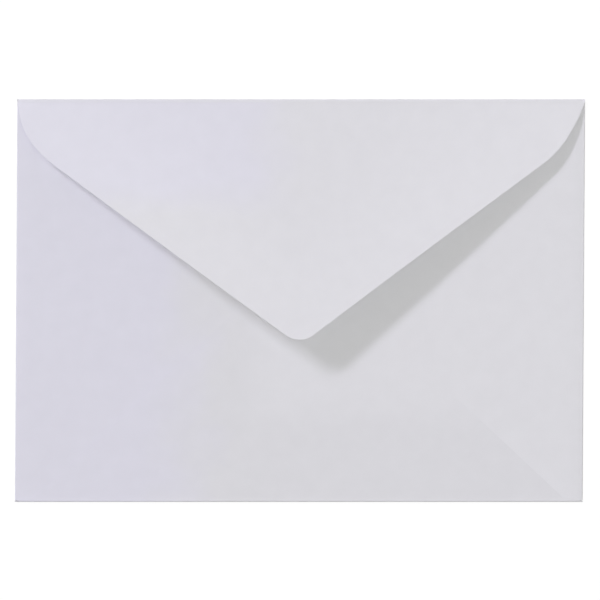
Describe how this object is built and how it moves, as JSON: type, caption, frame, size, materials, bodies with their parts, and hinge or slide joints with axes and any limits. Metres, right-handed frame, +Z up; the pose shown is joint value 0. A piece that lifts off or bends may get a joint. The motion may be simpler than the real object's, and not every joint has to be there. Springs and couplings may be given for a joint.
{
  "type": "paper envelope",
  "caption": "Plain white paper envelope for letters and cards, folded from one sheet, with a pointed flap that has a rounded tip and stands a little open",
  "frame": {"origin": "centre of the footprint, on the surface that the address side lies on", "axes": "+X along the long side, +Y towards the fold of the closing flap, +Z up out of the flap side"},
  "size_m": [0.22, 0.156, 0.0114],
  "materials": {
    "envelope_paper": "smooth uncoated white paper with a faint cool tint, matt, with a fine fibre grain"
  },
  "bodies": {
    "root": {"envelope": "envelope_paper"}
  },
  "joints": []
}
